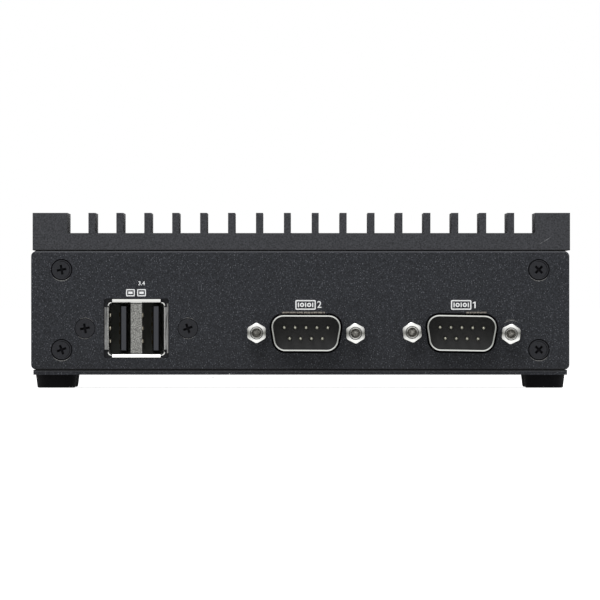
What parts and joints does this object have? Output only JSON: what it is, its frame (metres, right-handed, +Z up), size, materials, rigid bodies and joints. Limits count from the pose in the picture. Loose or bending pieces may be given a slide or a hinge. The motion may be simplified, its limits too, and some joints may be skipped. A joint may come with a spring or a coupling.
{
  "type": "fanless industrial computer",
  "caption": "Small fanless industrial computer with a finned heat sink on top, a double USB port and two 9-pin serial ports in front, on four rubber feet.",
  "frame": {"origin": "middle of the overall box on the resting plane under the feet", "axes": "+Z up; the panel with the serial and USB ports faces -Y; +X to the right seen from that side"},
  "size_m": [0.1365, 0.1056, 0.0442],
  "materials": {
    "anodised_dark": "satin",
    "plain_aluminium": "satin",
    "powder_coat": "fine texture",
    "foot_rubber": "matte",
    "black_plug": "matte",
    "black_screw": "satin",
    "zinc_steel": "satin",
    "nickel": "polished",
    "brass_hex": "satin",
    "gold_contact": "polished",
    "inlet_pin_metal": "polished",
    "black_plastic": "matte",
    "grey_plastic": "matte",
    "button_plastic": "satin",
    "board_laminate": "satin",
    "chip_package": "matte",
    "soft_pad": "matte",
    "cell_steel": "satin",
    "can_aluminium": "satin",
    "lead_jacket": "matte"
  },
  "bodies": {
    "case": {"heatsink": "anodised_dark", "heat_block": "plain_aluminium", "chassis": "powder_coat", "front_panel": "powder_coat", "rear_panel": "powder_coat", "bottom_cover": "powder_coat", "foot_front_left": "foot_rubber", "foot_front_right": "foot_rubber", "foot_rear_left": "foot_rubber", "foot_rear_right": "foot_rubber", "side_hole_plug": "black_plug", "usb_bracket": "black_screw", "front_panel_screws": "black_screw", "rear_panel_screws": "black_screw", "bottom_cover_screws": "black_screw", "usb_bracket_screws": "black_screw", "bracket_nuts": "zinc_steel", "screwlock_nuts": "zinc_steel", "board_screws": "zinc_steel", "com1_shell": "nickel", "com2_shell": "nickel", "com1_screwlocks": "nickel", "com2_screwlocks": "nickel", "usb_front_shell": "nickel", "usb_rear_shell": "nickel", "lan1_shield": "nickel", "lan2_shield": "nickel", "video_port_shell": "nickel", "board_standoffs": "brass_hex", "com1_pins": "gold_contact", "com2_pins": "gold_contact", "usb_front_contacts": "gold_contact", "lan_wires": "gold_contact", "power_inlet_pin": "inlet_pin_metal", "com1_insulator": "black_plastic", "com2_insulator": "black_plastic", "usb_rear_insulator": "black_plastic", "lan1_insulator": "black_plastic", "lan2_insulator": "black_plastic", "video_port_insulator": "black_plastic", "power_inlet": "black_plastic", "power_switch": "black_plastic", "memory_socket": "black_plastic", "storage_socket": "black_plastic", "coin_cell_holder": "black_plastic", "usb_front_insulator": "grey_plastic", "mainboard": "board_laminate", "memory_module": "board_laminate", "storage_module": "board_laminate", "processor": "chip_package", "power_inductors": "chip_package", "thermal_pad": "soft_pad", "coin_cell": "cell_steel", "capacitors": "can_aluminium", "com1_lead": "lead_jacket", "com2_lead": "lead_jacket", "usb_lead": "lead_jacket"},
    "button": {"power_button": "button_plastic"}
  },
  "joints": [
    {"name": "power_button_press", "type": "slide", "parent": "case", "child": "button", "axis": [0, -1, 0], "range_m": [0, 0.0008], "stiffness_N_per_m": 900}
  ]
}
